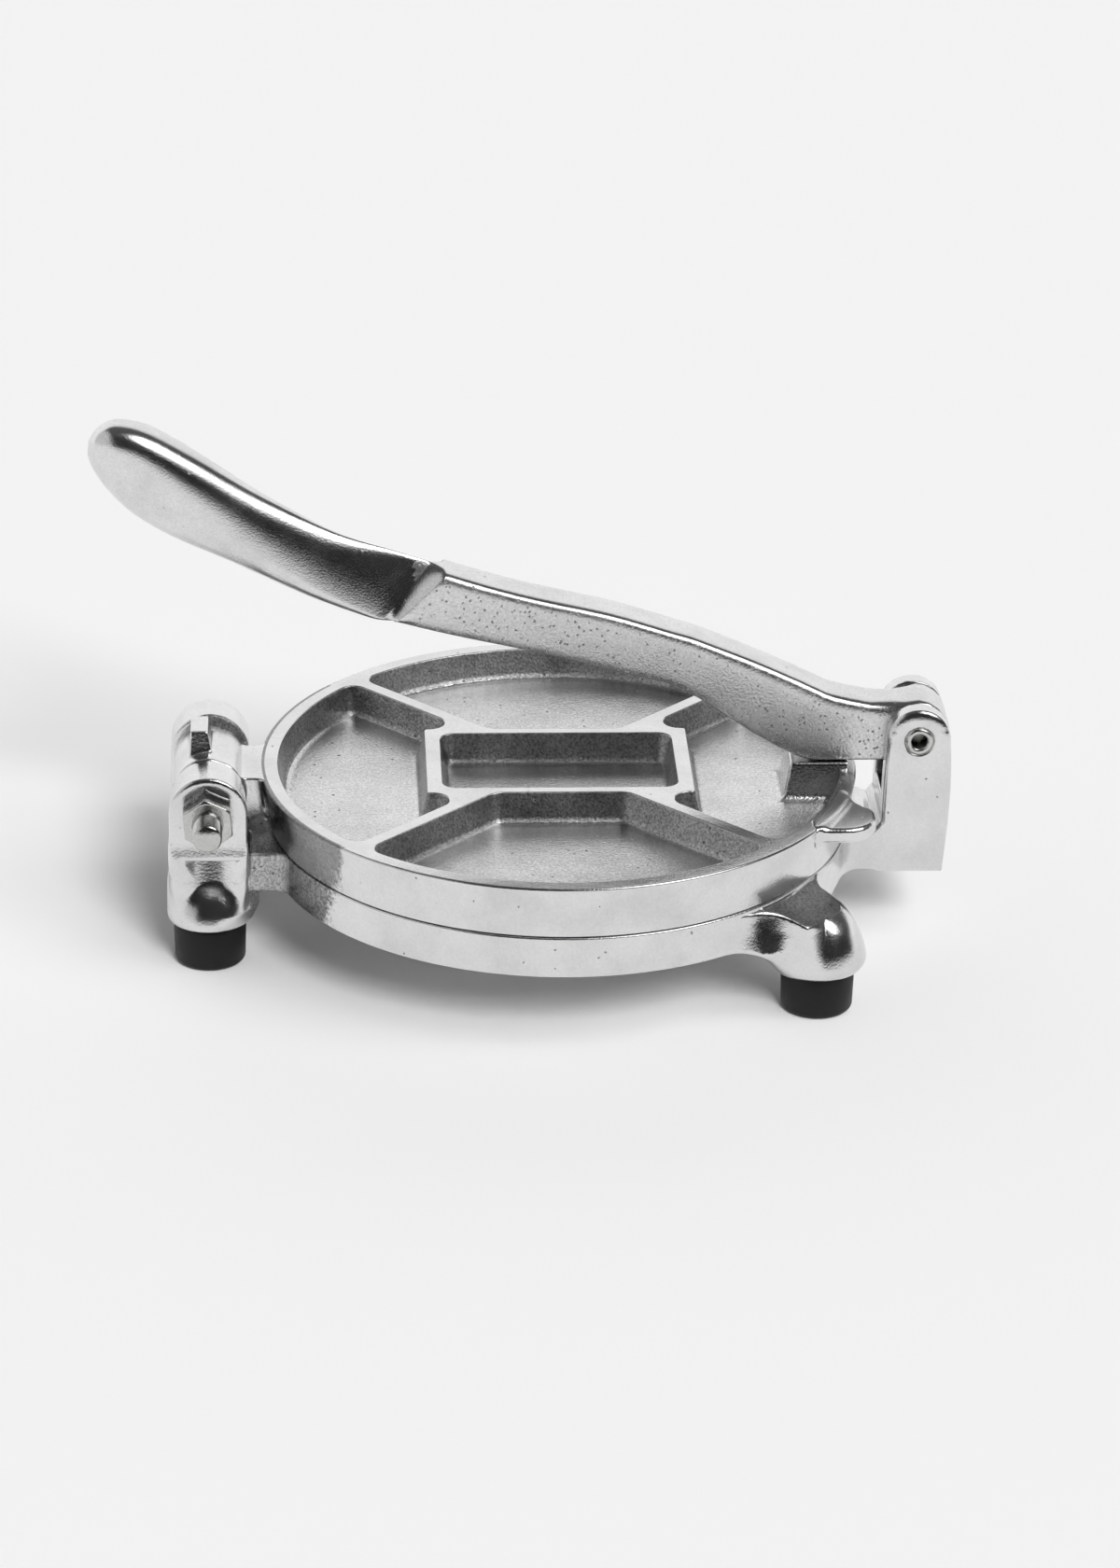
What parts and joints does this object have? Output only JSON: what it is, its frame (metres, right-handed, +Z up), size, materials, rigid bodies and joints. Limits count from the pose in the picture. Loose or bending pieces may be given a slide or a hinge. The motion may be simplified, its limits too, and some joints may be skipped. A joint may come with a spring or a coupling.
{
  "type": "tortilla press",
  "caption": "Cast aluminium tortilla press: round base on rubber feet, ribbed hinged top plate and a bent lever pinned in a yoke opposite the hinge.",
  "frame": {"origin": "on the table, under the middle of the closed press's bounding box", "axes": "+X from the hinge to the yoke, +Y away from the side with the nut, +Z up"},
  "size_m": [0.2356, 0.165, 0.1503],
  "materials": {
    "cast_aluminium": "sand cast, polished on its outer faces",
    "plated_steel": "bright zinc plated",
    "black_rubber": "satin"
  },
  "bodies": {
    "base": {"base": "cast_aluminium", "hinge_bolt": "plated_steel", "hinge_nut": "plated_steel", "lever_pin": "plated_steel", "foot_front_left": "black_rubber", "foot_rear_left": "black_rubber", "foot_front_right": "black_rubber", "foot_rear_right": "black_rubber"},
    "top_plate": {"top_plate": "cast_aluminium"},
    "lever": {"lever": "cast_aluminium"}
  },
  "joints": [
    {"name": "lever_swing", "type": "hinge", "parent": "base", "child": "lever", "pos_m": [0.10885, 0, 0.061], "axis": [0, 1, 0], "range_deg": [0, 165]},
    {"name": "plate_hinge", "type": "hinge", "parent": "base", "child": "top_plate", "pos_m": [-0.08635, 0, 0.0463], "axis": [0, -1, 0], "range_deg": [0, 16.5]}
  ],
  "couplings": [
    {"joint": "plate_hinge", "follows": "lever_swing", "ratio": 0.1}
  ]
}
